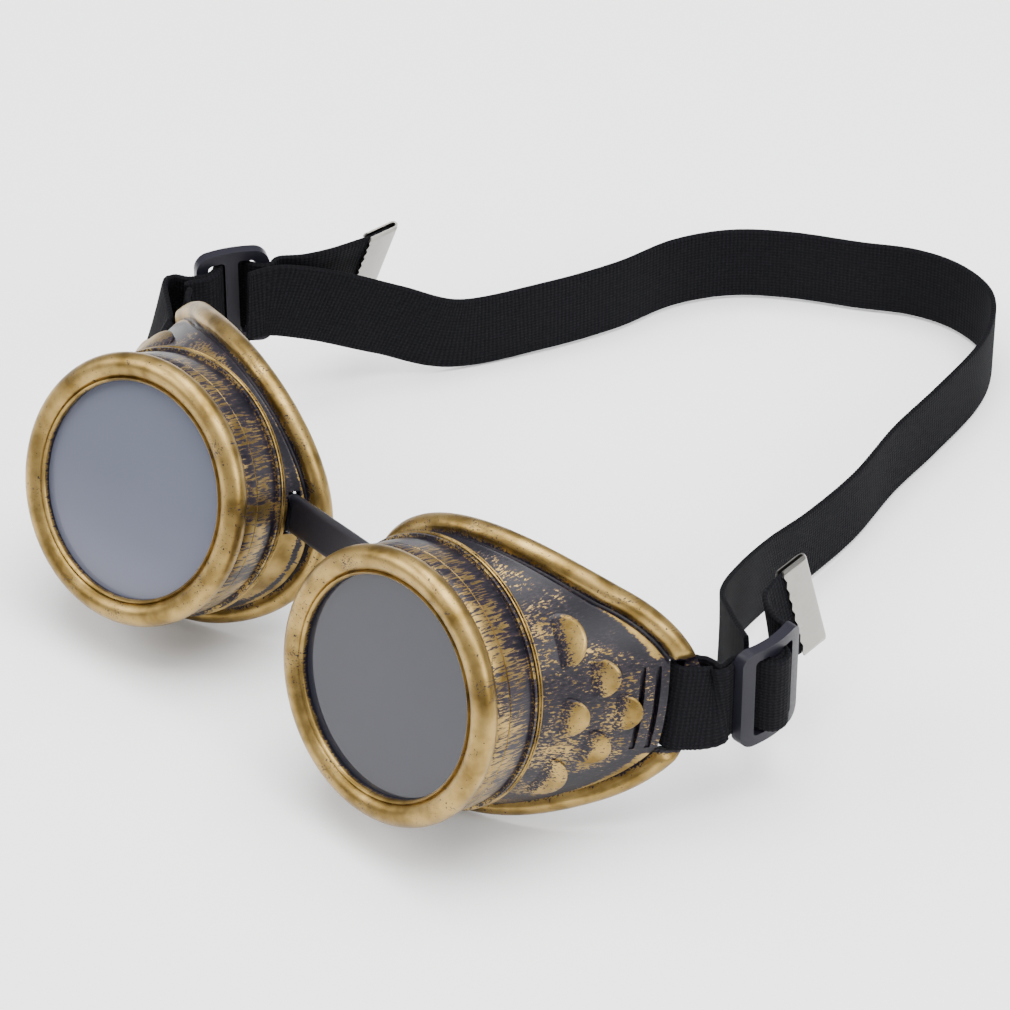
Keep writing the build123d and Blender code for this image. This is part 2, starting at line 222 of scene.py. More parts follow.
# ---------------------------------------------------------------- materials
class Shader:
    """A small helper for building one node material."""

    def __init__(self, name, **values):
        self.material = bpy.data.materials.new(name)
        self.material.use_nodes = True
        self.tree = self.material.node_tree
        self.bsdf = self.tree.nodes["Principled BSDF"]
        self.set(**values)

    def set(self, **values):
        for key, value in values.items():
            self.bsdf.inputs[key.replace("_", " ")].default_value = value

    def node(self, kind, links=(), **values):
        node = self.tree.nodes.new(kind)
        for key, value in values.items():
            if key in node.inputs:
                node.inputs[key].default_value = value
            else:
                setattr(node, key, value)
        for socket, source in dict(links).items():
            self.tree.links.new(source, node.inputs[socket])
        return node

    def link(self, source, key):
        self.tree.links.new(source, self.bsdf.inputs[key])

    def attribute(self, name, output="Vector"):
        return self.node("ShaderNodeAttribute", attribute_name=name).outputs[output]

    def noise(self, vector, scale, detail=3.0, roughness=0.6, stretch=(1, 1, 1)):
        mapped = self.node("ShaderNodeMapping", {"Vector": vector}, Scale=stretch).outputs[0]
        noise = self.node("ShaderNodeTexNoise", {"Vector": mapped}, Scale=scale, Detail=detail,
                          Roughness=roughness)
        return noise.outputs["Fac"]

    def math(self, operation, a, b, clamp=False):
        node = self.node("ShaderNodeMath", operation=operation, use_clamp=clamp)
        for i, value in enumerate((a, b)):
            if isinstance(value, (int, float)):
                node.inputs[i].default_value = value
            else:
                self.tree.links.new(value, node.inputs[i])
        return node.outputs[0]

    def ramp(self, fac, *stops):
        node = self.node("ShaderNodeValToRGB", {"Fac": fac})
        elements = node.color_ramp.elements
        while len(elements) < len(stops):
            elements.new(0.5)
        for element, (position, colour) in zip(elements, stops):
            element.position = position
            element.color = (*colour, 1) if len(colour) == 3 else colour
        return node.outputs["Color"]

    def mix(self, fac, a, b):
        node = self.node("ShaderNodeMix", data_type="RGBA")
        self.tree.links.new(fac, node.inputs[0])
        for socket, value in ((node.inputs[6], a), (node.inputs[7], b)):
            if isinstance(value, tuple):
                socket.default_value = (*value, 1)
            else:
                self.tree.links.new(value, socket)
        return node.outputs[2]

    def bump(self, height, strength, distance):
        node = self.node("ShaderNodeBump", {"Height": height}, Strength=strength, Distance=distance)
        self.link(node.outputs[0], "Normal")


def grey(value):
    return (value, value, value)


def antique_brass():
    """Gold paint rubbed over violet-black plastic, with strokes along the lens axis."""
    s = Shader("antique_brass", Specular_IOR_Level=0.22)
    local = s.attribute("local")
    # On the lens rings this gold amount also carries painted light and shade: more gold on the side facing
    # +X and down.
    amount = s.attribute("gold", "Fac")
    strokes = s.noise(local, 1.0, 4.0, 0.62, (2.3, 2.3, 0.26))
    patches = s.noise(local, 1.0, 2.0, 0.5, (0.16, 0.16, 0.09))
    specks = s.noise(local, 0.85, 3.0, 0.55)
    tone = s.noise(local, 0.16, 3.0, 0.5)
    level = s.math("ADD", amount, s.math("MULTIPLY", s.math("SUBTRACT", strokes, 0.5), 1.9))
    level = s.math("ADD", level, s.math("MULTIPLY", s.math("SUBTRACT", patches, 0.5), 0.9))
    pits = s.math("MULTIPLY", s.math("GREATER_THAN", specks, 0.69), 0.5)
    level = s.math("SUBTRACT", level, pits)
    paint = s.ramp(level, (0.47, grey(0.0)), (0.56, grey(1.0)))
    haze = s.ramp(level, (0.1, grey(0.0)), (0.5, grey(1.0)))
    shade = s.ramp(tone, (0.35, grey(0.0)), (0.65, grey(1.0)))
    gold = s.mix(shade, (0.135, 0.085, 0.022), (0.33, 0.222, 0.075))
    plastic = s.mix(haze, (0.0035, 0.003, 0.006), (0.020, 0.0145, 0.021))
    s.link(s.mix(paint, plastic, gold), "Base Color")
    s.link(s.math("MULTIPLY", paint, 0.92), "Metallic")
    s.link(s.math("ADD", s.math("MULTIPLY", strokes, 0.2), 0.27), "Roughness")
    height = s.math("ADD", s.math("MULTIPLY", paint, 0.5), s.math("MULTIPLY", strokes, 0.8))
    s.bump(height, 0.32, 0.00012)
    return s.material


def tinted_glass(name, colour, edge):
    """Grey filter glass: dark, very smooth, with a faint cloudiness from casting."""
    s = Shader(name, Roughness=0.045, Specular_IOR_Level=0.4)
    place = s.node("ShaderNodeTexCoord").outputs["Object"]
    cloud = s.noise(place, 40.0, 2.0, 0.4)
    s.link(s.mix(cloud, colour, edge), "Base Color")
    smear = s.noise(place, 220.0, 3.0, 0.5)
    s.link(s.math("ADD", s.math("MULTIPLY", smear, 0.03), 0.03), "Roughness")
    return s.material


def clear_glass():
    s = Shader("clear_glass", Roughness=0.03, IOR=1.5, Transmission_Weight=0.9)
    place = s.node("ShaderNodeTexCoord").outputs["Object"]
    dust = s.noise(place, 900.0, 3.0, 0.5)
    s.link(s.ramp(dust, (0.3, grey(0.8)), (0.7, (0.9, 0.92, 0.94))), "Base Color")
    return s.material


def rubber(name, colour, gloss):
    s = Shader(name, Roughness=gloss, IOR=1.5)
    place = s.node("ShaderNodeTexCoord").outputs["Object"]
    grain = s.noise(place, 2600.0, 4.0, 0.6)
    bloom = s.noise(place, 120.0, 3.0, 0.6)
    s.link(s.mix(bloom, colour, tuple(c * 1.9 + 0.004 for c in colour)), "Base Color")
    s.link(s.math("ADD", s.math("MULTIPLY", grain, 0.22), gloss - 0.1), "Roughness")
    s.bump(grain, 0.18, 0.00005)
    return s.material


def webbing():
    """Black ribbed elastic; weave holds the distance along, across and over the strap."""
    s = Shader("webbing", Roughness=0.9, Specular_IOR_Level=0.12)
    weave = s.attribute("weave")
    split = s.node("ShaderNodeSeparateXYZ", {"Vector": weave})
    along, across = split.outputs["X"], split.outputs["Y"]
    rib = s.math("SINE", s.math("MULTIPLY", along, 2 * pi / 0.95), 0.0)
    wale = s.math("SINE", s.math("MULTIPLY", across, 2 * pi / 0.8), 0.0)
    fuzz = s.noise(weave, 3.2, 4.0, 0.7)
    knit = s.math("ADD", s.math("MULTIPLY", rib, 0.3), s.math("MULTIPLY", wale, 0.22))
    height = s.math("ADD", knit, s.math("MULTIPLY", fuzz, 0.8))
    wear = s.noise(weave, 0.08, 3.0, 0.6)
    # Lighter where the knit and fuzz stand high: a painted highlight on the crests of the ribs, together
    # with lighter loose fibres in the fuzz.
    crest_highlight_and_lint = s.ramp(s.math("ADD", s.math("MULTIPLY", knit, 0.35), fuzz),
                  (0.45, (0.0012, 0.0012, 0.0018)), (1.0, (0.012, 0.012, 0.016)))
    s.link(s.mix(s.math("MULTIPLY", wear, 0.35), crest_highlight_and_lint, (0.0035, 0.0035, 0.006)), "Base Color")
    s.bump(height, 0.85, 0.00022)
    return s.material


def slider_plastic():
    s = Shader("slider_plastic", Roughness=0.38, Specular_IOR_Level=0.15)
    place = s.node("ShaderNodeTexCoord").outputs["Object"]
    grain = s.noise(place, 1500.0, 4.0, 0.6)
    mottle = s.noise(place, 90.0, 2.0, 0.5)
    s.link(s.mix(mottle, (0.006, 0.006, 0.010), (0.014, 0.013, 0.020)), "Base Color")
    s.link(s.math("ADD", s.math("MULTIPLY", grain, 0.25), 0.25), "Roughness")
    s.bump(grain, 0.2, 0.00005)
    return s.material


def brushed_nickel():
    s = Shader("brushed_nickel", Metallic=1.0, Roughness=0.3)
    weave = s.attribute("weave")
    lines = s.noise(weave, 1.0, 4.0, 0.6, (0.4, 9.0, 1.0))
    stain = s.noise(weave, 0.25, 3.0, 0.6)
    tint = s.mix(stain, (0.28, 0.27, 0.245), (0.22, 0.21, 0.19))
    s.link(s.mix(lines, tint, (0.34, 0.33, 0.305)), "Base Color")
    s.link(s.math("ADD", s.math("MULTIPLY", lines, 0.22), 0.2), "Roughness")
    s.bump(lines, 0.15, 0.00004)
    return s.material


def floor_paper():
    s = Shader("floor_paper", Roughness=0.9)
    place = s.node("ShaderNodeTexCoord").outputs["Object"]
    tooth = s.noise(place, 600.0, 3.0, 0.5)
    s.link(s.mix(tooth, (0.93, 0.93, 0.93), (0.95, 0.95, 0.95)), "Base Color")
    return s.material


BRASS = antique_brass()
# The two filter lenses are one grey glass. The right lens's lighter colour is a painted reflection of the
# overhead light, and the left lens's darker colour is painted shade.
SMOKE_GLASS_LIT_AND_SHADED = {
    "right": tinted_glass("smoke_glass_right_painted_reflection", (0.090, 0.096, 0.128), (0.102, 0.108, 0.144)),
    "left": tinted_glass("smoke_glass_left_painted_shade", (0.018, 0.0185, 0.026), (0.024, 0.0245, 0.034)),
}
CLEAR = clear_glass()
GASKET = rubber("gasket_rubber", (0.012, 0.012, 0.012), 0.6)
BRIDGE = rubber("bridge_rubber", (0.003, 0.003, 0.006), 0.42)
WEBBING = webbing()
SLIDER = slider_plastic()
NICKEL = brushed_nickel()


def dress(obj, material):
    obj.data.materials.clear()
    obj.data.materials.append(material)


# ---------------------------------------------------------------- camera
def look(position, direction, lens):
    camera = bpy.data.objects.new("camera", bpy.data.cameras.new("camera"))
    bpy.context.scene.collection.objects.link(camera)
    camera.data.lens, camera.data.sensor_width = lens, 36.0
    camera.data.clip_end = 20.0
    camera.location = Vector(position) * MM
    camera.rotation_mode = "QUATERNION"
    camera.rotation_quaternion = Vector(direction).to_track_quat("-Z", "Y")
    bpy.context.scene.camera = camera


LENS_PLATE_Z = 15.8       # front of the rings' openings
between_lenses = np.mean([cup.world((0, 0, LENS_PLATE_Z)) for cup in CUPS.values()], axis=0)
look(between_lenses + np.array(CAMERA_FROM_LENSES), CAMERA_LOOKS, CAMERA_LENS)


# ---------------------------------------------------------------- eye cups
def cone_radius(depth):
    return CONE_R + CONE_SLOPE * (depth - CONE_START)


def face_depth(t):
    """Depth of the open end behind the flange at a distance t towards the temple."""
    turn = radians(FACE_TURN)
    join = FACE_X + FACE_R * cos(turn)
    arc = np.sqrt(np.maximum(FACE_R ** 2 - (np.minimum(t, join) - FACE_X) ** 2, 0))
    depth = FACE_DEPTH + FACE_R - arc
    return depth + np.maximum(t - join, 0) * np.tan(turn)


def end_depths(angles):
    """Depth at which the cone meets the open end, for each angle about the lens axis."""
    depth = np.full(len(angles), 15.0)
    for _ in range(200):
        depth = 0.5 * depth + 0.5 * face_depth(cone_radius(depth) * np.cos(angles))
    return depth


CUP_STEPS = 400
BODY_ROWS = 44
# cross-section of the groove and the rolled rim: distance from the open end, height
RIM_FRONT = ((6.6, 0.0), (6.35, 0.05), (6.2, -0.1), (6.05, -0.5), (5.75, -0.8), (5.4, -0.9), (5.0, -0.85),
             (4.75, -0.55))
RIM_CENTRE, RIM_HALF, RIM_HIGH = 2.3, 2.35, 1.95
RIM_STEPS = 22

# barrel and double flange bead, from inside the bore to the root of the cone: radius, z
BARREL_AND_FLANGE = (
    (BARREL_BORE_R, BARREL_L - 0.3), (BARREL_BORE_R + 0.3, BARREL_L),
    (BARREL_R - 0.3, BARREL_L), (BARREL_R, BARREL_L - 0.3), (BARREL_R, 3.0),
    (BARREL_R, 0.02), (28.9, 0.0), (29.2, -0.08), (29.3, -0.26), (29.2, -0.44),
    (28.95, -0.55), (28.9, -0.66), (29.0, -0.76), (29.25, -0.85), (29.3, -1.0),
    (29.22, -1.16), (28.95, -1.28), (28.1, -1.34), (27.5, -1.37),
)


def eye_cup(cup):
    """Barrel, double flange bead, flared body, groove and rolled rim as one closed skin."""
    angles = np.linspace(0, 2 * pi, CUP_STEPS, endpoint=False)
    end = end_depths(angles)
    slant = (1 + CONE_SLOPE ** 2) ** 0.5
    length = (end - CONE_START) * slant
    around = cone_radius(end) * (angles[1] - angles[0])
    slope = (np.roll(length, -1) - np.roll(length, 1)) / (2 * around)
    skew = np.sqrt(1 + slope ** 2)
    rise = np.abs(cone_radius(end) * np.sin(angles))
    flat = np.where(np.cos(angles) > 0, fade(rise, 12.2, 9.8), 0.0)
    rows = []

    def turned(radius, z):
        rows.append(np.stack([radius * np.cos(angles), radius * np.sin(angles),
                              np.full(CUP_STEPS, float(z))], axis=1))

    def on_wall(distance, height):
        """A row at a distance from the open end, measured square to it, and a height."""
        s = length - distance * skew
        depth = CONE_START + s / slant - height * CONE_SLOPE / slant
        radius = CONE_R + s / slant * CONE_SLOPE + height / slant
        rows.append(np.stack([radius * np.cos(angles), radius * np.sin(angles), -depth], axis=1))

    for radius, z in BARREL_AND_FLANGE:
        turned(radius, z)
    front = 0.25
    for k in range(BODY_ROWS):
        share = k / (BODY_ROWS - 1)
        s_end = RIM_FRONT[0][0] * skew
        distance = (length - front - (length - front - s_end) * share) / skew
        on_wall(distance, np.zeros(CUP_STEPS))
    for distance, height in RIM_FRONT[1:]:
        on_wall(np.full(CUP_STEPS, distance), height * (1 - flat))
    for k in range(RIM_STEPS + 1):
        turn = pi * (0.06 + 1.36 * k / RIM_STEPS)
        distance = RIM_CENTRE + RIM_HALF * cos(turn)
        high = RIM_HIGH * sin(turn) if turn < pi else 2.0 * sin(turn)
        low = min(high, 0.0) if turn < pi else high
        on_wall(np.full(CUP_STEPS, distance), high * (1 - flat) + (low - 0.1) * flat)
    for distance in (2.8, 3.6, 4.6, 6.0):
        on_wall(np.full(CUP_STEPS, distance), np.full(CUP_STEPS, -WALL))
    for k in range(1, 11):
        share = k / 10
        s_end = 6.0 * skew
        distance = (s_end + (length - s_end) * share) / skew
        on_wall(distance, np.full(CUP_STEPS, -WALL))
    turned(BARREL_BORE_R + 0.3, -1.3)
    turned(BARREL_BORE_R, -1.0)
    grid = np.stack(rows)
    obj = lattice(f"{cup.side}_cup_shell", cup.world(grid), row_loop=True, col_loop=True)
    for cutter in cup_cutters(cup):
        boolean(obj, cutter, "DIFFERENCE")
    boolean(obj, louvres(cup), "UNION")
    outward(obj)
    local = cup.local(vertex_points(obj))
    set_vector(obj, "local", local)
    set_float(obj, "gold", cup_gold(cup, local))
    dress(obj, BRASS)
    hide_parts(f"{cup.side}_eye_cup")
    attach(obj, f"{cup.side}_cup")


def wall_axes(angle, depth):
    """Spot on the cup's surface and the ways around it, towards the lens and outwards."""
    a = radians(angle)
    spot = np.array([cone_radius(depth) * cos(a), cone_radius(depth) * sin(a), -depth])
    out = np.array([cos(a), sin(a), CONE_SLOPE]) / (1 + CONE_SLOPE ** 2) ** 0.5
    around = np.array([-sin(a), cos(a), 0])
    return spot, around, np.cross(out, around), out


LOUVRE_PROUD, LOUVRE_SUNK = 1.9, 2.2
LOUVRE_RINGS, LOUVRE_STEPS = 12, 56
LOUVRE_REACH = 0.72       # half its run along the cup, as a share of its stated length
LOUVRE_CROWN = 0.16       # how much lower its sides are than its middle
LOUVRE_DIP = 2.0          # how far its front end dives into the wall


def louvres(cup):
    """Pressed vent covers: domes with a crisp rounded rear edge, running out towards the lens."""
    verts, faces = [], []
    for angle, depth, width, length in LOUVRES:
        spot, around, ahead, out = wall_axes(angle, depth)
        rear = -length / 2
        base = len(verts)
        for k in range(LOUVRE_RINGS + 1):
            share = k / LOUVRE_RINGS
            for j in range(LOUVRE_STEPS):
                turn = 2 * pi * j / LOUVRE_STEPS
                x = width / 2 * sin(turn) * share
                y = rear + length * LOUVRE_REACH + length * LOUVRE_REACH * -cos(turn) * share
                back = np.clip((y - rear) / (length * 2 * LOUVRE_REACH), 0, 1)
                dome = 1.0 - LOUVRE_CROWN * (2 * x / width) ** 2
                high = (LOUVRE_PROUD * (1 - back) ** 1.15) * dome - LOUVRE_DIP * back ** 3
                high -= (x ** 2) / (2 * cone_radius(depth)) * 0.75
                high -= 0.22 * fade(share, 0.9, 1.0)
                verts.append(spot + x * around + y * ahead + high * out)
        lower = len(verts)
        for j in range(LOUVRE_STEPS):
            turn = 2 * pi * j / LOUVRE_STEPS
            x = width / 2 * 0.92 * sin(turn)
            y = rear + length * LOUVRE_REACH - length * 0.66 * cos(turn)
            verts.append(spot + x * around + y * ahead - LOUVRE_SUNK * out)
        faces += grid_faces(LOUVRE_RINGS + 2, LOUVRE_STEPS, False, True, base)
        faces.append(tuple(lower + j for j in range(LOUVRE_STEPS)))
    obj = new_object("louvres", cup.world(np.array(verts)), faces)
    keep_outside(cup, obj)
    return outward(obj)


def keep_outside(cup, obj):
    """Hold the buried side of the louvres inside the thickness of the wall."""
    local = cup.local(vertex_points(obj))
    radius = np.hypot(local[:, 0], local[:, 1])
    least = cone_radius(-local[:, 2]) - WALL * 0.75
    grow = np.maximum(least / radius, 1.0)
    local[:, :2] *= grow[:, None]
    obj.data.vertices.foreach_set("co", (cup.world(local) * MM).ravel())


def box_points(centre, axes, sizes):
    corners = []
    for sx in (-0.5, 0.5):
        for sy in (-0.5, 0.5):
            for sz in (-0.5, 0.5):
                corners.append(centre + axes[0] * sx * sizes[0] + axes[1] * sy * sizes[1]
                               + axes[2] * sz * sizes[2])
    return corners


BOX_FACES = ((0, 1, 3, 2), (4, 6, 7, 5), (0, 4, 5, 1), (2, 3, 7, 6), (0, 2, 6, 4), (1, 5, 7, 3))


def cup_cutters(cup):
    """A block each for the two long vents, the strap slot and the nose-bridge slot.

    The vents are blind pockets here; in the CAD they go through the wall.
    """
    cuts = [(0.0, depth, VENT_L, VENT_W, VENT_CUT) for depth in VENT_DEPTHS]
    cuts.append((0.0, SLOT_DEPTH, SLOT_L, SLOT_W, THROUGH))
    cuts.append((180 - BRIDGE_ANGLE, BRIDGE_DEPTH, BRIDGE_W + 1.0, BRIDGE_T + 1.0, THROUGH))
    for angle, depth, long, wide, deep in cuts:
        spot, around, ahead, out = wall_axes(angle, depth)
        corners = box_points(spot, (around, ahead, out), (long, wide, 2 * deep))
        yield outward(new_object("cutter", cup.world(np.array(corners)), BOX_FACES))


def cup_gold(cup, local):
    """How much gold paint each point of a cup carries, from 0 to 1."""
    t, u, z = local.T
    depth = -z
    radius = np.hypot(t, u)
    angle = np.arctan2(u, t)
    off_wall = (radius - cone_radius(depth)) / (1 + CONE_SLOPE ** 2) ** 0.5
    to_end = (face_depth(t) - depth)
    temple = fade(np.cos(angle), 0.45, 0.8)
    body = 0.42 + 0.06 * fade(depth, 2.0, 5.0) - 0.13 * temple
    crest = 1 - temple
    body -= crest * 0.42 * fade(to_end, 8.4, 6.4)
    body -= temple * 0.34 * fade(np.abs(u) + 0.42 * depth, 20.5, 22.5) * fade(depth, 11.0, 15.0)
    body -= 0.10 * fade(depth, 3.0, 1.3)
    if cup.side == "right":
        nasal = fade(np.cos(angle), -0.3, -0.75) * fade(u, -14.0, -7.0) * fade(u, 17.0, 9.0)
        body += 0.62 * nasal * fade(to_end, 5.8, 6.8)
    else:
        body -= 0.16 * fade(u, 10.0, 20.0) * crest
    body += 0.42 * fade(off_wall, 0.35, 1.3)
    groove = fade(to_end, 7.2, 6.6) * fade(off_wall, 0.15, -0.1)
    gold = body * (1 - groove) + 0.12 * groove
    flat = fade(np.abs(u), 11.5, 10.0) * fade(t, 20.0, 30.0)
    rim = fade(to_end, 6.4, 5.4) * fade(off_wall, -0.9, -0.2) * (1 - flat)
    gold = gold * (1 - rim) + 0.82 * rim
    gold = np.where(off_wall < -0.95, -0.6, gold)
    flange = (radius > CONE_R + 0.4) & (depth < 1.34)
    gold = np.where(flange, np.where(np.abs(depth - 0.62) < 0.14, 0.25, 0.84), gold)
    gold = np.where(depth < 0.0, 0.3, gold)
    return gold


# ---------------------------------------------------------------- lens rings
RING_BEFORE = ((27.0, 0.35), (29.1, 0.35), (29.15, 0.65), (29.05, 0.95), (28.35, 1.0), (28.3, 1.4),
               (28.55, 4.5), (28.68, 7.6), (28.45, 7.75), (28.45, 7.95), (28.75, 8.1), (28.85, 10.9),
               (28.62, 11.2), (28.6, 11.45), (28.95, 11.8))
LIP_CENTRE, LIP_R = (26.75, 13.35), 2.75
LIP_FROM, LIP_TO, LIP_STEPS = -32.0, 150.0, 22
RING_STEPS = 320
RING_AFTER = ((24.05, 15.35), (23.62, 15.0), (23.5, 14.7), (23.5, 13.6), (25.4, 13.6), (25.4, 8.9),
              (27.0, 8.9))


def ring_profile():
    lip = []
    for k in range(LIP_STEPS + 1):
        turn = radians(LIP_FROM + (LIP_TO - LIP_FROM) * k / LIP_STEPS)
        lip.append((LIP_CENTRE[0] + LIP_R * cos(turn), LIP_CENTRE[1] + LIP_R * sin(turn)))
    return [*RING_BEFORE, *lip, *RING_AFTER]


def lens_ring(cup):
    obj = revolve(f"{cup.side}_ring_shell", cup, ring_profile(), RING_STEPS)
    local = cup.local(vertex_points(obj))
    radius, z = np.hypot(local[:, 0], local[:, 1]), local[:, 2]
    angle = np.arctan2(local[:, 1], local[:, 0])
    wall = 0.43 + 0.05 * fade(z, 3.0, 6.0) - 0.24 * fade(z, 3.4, 1.6)
    # Painted light and shade: this term puts more gold, so a lighter wall, on the side of each ring that
    # faces +X and down. It is the same world side on both mirrored rings, and darker on the opposite side.
    wall += 0.09 * np.cos(angle + (2.6 if cup.side == "right" else 0.7))
    seam = np.where(np.abs(z - 7.85) < 0.16, 0.28, 0.0)
    lip = fade(z, 11.3, 12.1)
    gold = (wall + seam) * (1 - lip) + 0.84 * lip
    gold = np.where(z < 1.1, 0.45, gold)
    gold = np.where(radius < 27.1, np.where(z < 13.9, 0.1, gold), gold)
    set_vector(obj, "local", local)
    set_float(obj, "gold", gold)
    dress(obj, BRASS)
    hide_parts(f"{cup.side}_lens_ring")
    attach(obj, f"{cup.side}_ring")


def carried(node, material, bevel=0.0):
    """A CAD node that is shown as it is, with a better material and softened edges."""
    obj = frame["nodes"][node]
    obj.data.shade_smooth()
    obj.data.set_sharp_from_angle(angle=radians(40))
    dress(obj, material)
    if bevel:
        modifier = obj.modifiers.new("edges", "BEVEL")
        modifier.width, modifier.segments = bevel * MM, 3
        modifier.limit_method, modifier.angle_limit = "ANGLE", radians(40)


# ---------------------------------------------------------------- webbing
def across_section(width, thickness):
    """Outline of a flat band with rounded edges: offsets across its width and its thickness."""
    half, round_r = width / 2, thickness / 2
    points = []
    for sign in (1, -1):
        straight = np.linspace(-(half - round_r), half - round_r, 22)
        points += [(sign * x, sign * round_r) for x in straight]
        for k in range(1, 6):
            turn = pi / 2 - pi * k / 6
            points.append((sign * (half - round_r + round_r * cos(turn)), sign * round_r * sin(turn)))
    return np.array(points)


def band(name, stations, thickness=STRAP_T, width=STRAP_W, ribbed=True, part=(0.0, 1.0)):
    """Flat band through stations of (centre, way across its width), with knitted ribs.

    part gives the share of its length that is made, so that a band can be in several pieces.
    """
    data = np.array([[*centre, *across] for centre, across in stations], float)
    path, run = smooth_path(data, 0.45 if ribbed else 0.8)
    centres, across = path[:, :3], path[:, 3:]
    ahead = np.gradient(centres, axis=0)
    ahead /= np.linalg.norm(ahead, axis=1)[:, None]
    across -= ahead * np.sum(across * ahead, axis=1)[:, None]
    across /= np.linalg.norm(across, axis=1)[:, None]
    over = np.cross(ahead, across)
    first, last = (round(share * (len(run) - 1)) for share in part)
    centres, across, over, run = (a[first:last + 1] for a in (centres, across, over, run))
    section = across_section(width, thickness)
    rib = 0.5 + 0.5 * np.cos(2 * pi * run / 0.9)
    edge = 1.0 - (0.012 if ribbed else 0.0) * rib
    swell = 1.0 - (0.10 if ribbed else 0.0) * rib
    grid = (centres[:, None] + across[:, None] * (section[:, 0] * edge[:, None])[..., None]
            + over[:, None] * (section[:, 1] * swell[:, None])[..., None])
    obj = lattice(name, grid, col_loop=True, caps=True)
    along = np.repeat(run, len(section))
    weave = np.column_stack([along, np.tile(section[:, 0], len(run)), np.tile(section[:, 1], len(run))])
    assign_weave(obj, grid.reshape(-1, 3), weave)
    return obj


def assign_weave(obj, points, values):
    """Store weave coordinates by nearest original point, whatever order the mesh now has."""
    tree = KDTree(len(points))
    for i, point in enumerate(points):
        tree.insert(point, i)
    tree.balance()
    order = [tree.find(point)[1] for point in vertex_points(obj)]
    set_vector(obj, "weave", values[order])


UP = (0.0, 0.0, 1.0)
HEAD_STRAP = (            # middle of the strap and the height of its top edge, in the layout
    (70.0, 71.0, 37.0), (60.0, 78.0, 33.0), (52.0, 90.0, 28.0), (45.0, 106.0, 23.0),
    (41.0, 122.0, 20.0), (37.0, 140.0, 19.2), (31.0, 158.0, 19.2), (27.0, 175.0, 19.2),
    (22.0, 193.0, 19.2), (16.0, 204.0, 19.2), (8.0, 211.0, 19.2), (-3.0, 212.5, 19.2),
    (-14.0, 209.0, 19.2), (-25.0, 201.0, 19.2), (-38.0, 192.0, 19.2), (-48.0, 182.0, 19.2),
    (-54.0, 169.0, 19.2), (-56.0, 153.0, 19.2), (-61.0, 135.0, 19.2), (-69.0, 115.0, 19.5),
    (-76.5, 101.0, 26.0), (-82.0, 88.0, 33.0),
)
SLIDER_MIDDLE = {"left": (84.2, 69.0, 27.5), "right": (-93.8, 69.5, 29.0)}
SLIDER_ALONG = {"left": (-0.07, 1.0, 0.0), "right": (0.42, 0.91, 0.0)}
SLIDER_OUT = {"left": (1.0, 0.07, 0.0), "right": (-0.91, 0.42, 0.0)}


def unit(vector):
    vector = np.asarray(vector, float)
    return vector / np.linalg.norm(vector)


def slider_point(side, along, out, up=0.0):
    """Row-frame point in a slider's own directions."""
    middle = np.array(SLIDER_MIDDLE[side]) - LAYOUT
    return (middle + unit(SLIDER_ALONG[side]) * along + unit(SLIDER_OUT[side]) * out
            + np.array(UP) * up)


def layout(point):
    return np.array(point, float) - LAYOUT

ROUTE_STEP = 3.0
BAND_CUTS = (0.0, 0.16, 0.84, 1.0)   # where the band is split, as shares of its length


def main_band():
    """The strap round the back, in three stretches that meet end to end."""
    route = [(layout((80.0, 66.2, 29.5)), UP)]
    route += [(layout((x, y, top - STRAP_W / 2)), UP) for x, y, top in HEAD_STRAP]
    route += [(layout((-86.0, 76.5, 28.5)), UP), (slider_point("right", 2.5, -5.4), UP)]
    data = np.array([[*centre, *across] for centre, across in route], float)
    path, _ = smooth_path(data, ROUTE_STEP)
    names = ("head_strap_left_end", "head_strap_back", "head_strap_right_end")
    bodies = (("left_slider", "left_cup"), ("left_cup", "right_cup"), ("right_cup", "right_slider"))
    for name, (a, b), first, last in zip(names, bodies, BAND_CUTS, BAND_CUTS[1:]):
        obj = band(name, route, part=(first, last))
        dress(obj, WEBBING)
        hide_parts("head_strap")
        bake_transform(obj)


LOOPS = {                 # outer layer, then inner layer: (temple, depth) spots on the cup
    "left": (
        ((42.0, 38.5), (40.3, 34.6), (38.4, 31.8)),
        ((35.0, 32.4), (34.9, 36.6)),
        (),
        ((77.4, 56.4, 27.8),),
    ),
    "right": (
        ((40.6, 34.6), (38.4, 31.8)),
        ((35.0, 32.4), (34.9, 36.8), (37.2, 41.5)),
        ((-98.6, 55.2, 29.3), (-98.0, 51.5, 30.0)),
        ((-91.8, 53.2, 28.8), (-94.2, 56.0, 29.0)),
    ),
}


def strap_loop(cup):
    """Webbing from the slider out through the cup's slot and back, in two layers."""
    outer, inner, outer_free, inner_free = LOOPS[cup.side]
    half = unit(cup.u + np.array(UP))
    route = [(slider_point(cup.side, -7.2, -3.3), UP), (slider_point(cup.side, -10.5, -3.1), UP)]
    route += [(layout(spot), half) for spot in outer_free]
    route += [(cup.world((t, 0, -b)), cup.u) for t, b in outer + inner]
    route += [(layout(spot), half) for spot in inner_free]
    route += [(slider_point(cup.side, -11.0, -4.8), UP), (slider_point(cup.side, -7.2, -4.7), UP)]
    obj = band(f"{cup.side}_loop_webbing", route)
    dress(obj, WEBBING)
    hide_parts(f"{cup.side}_strap_loop")
    start = cup.world((38.0, 0, -33.0))
    slider_point(cup.side, -11.5, -3.0) * MM
    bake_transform(obj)


WRAP_OUTER = ((-8.2, -3.3), (-6.0, -3.1), (-4.0, -1.6), (-2.2, 2.2), (0.0, 3.1), (2.2, 2.4), (4.0, -0.9),
              (6.4, -2.75), (8.6, -2.9))
WRAP_INNER = ((-8.2, -4.7), (-5.8, -4.4), (-3.3, -2.4), (-1.7, 1.2), (0.0, 1.85), (1.7, 1.2), (2.6, -0.2))
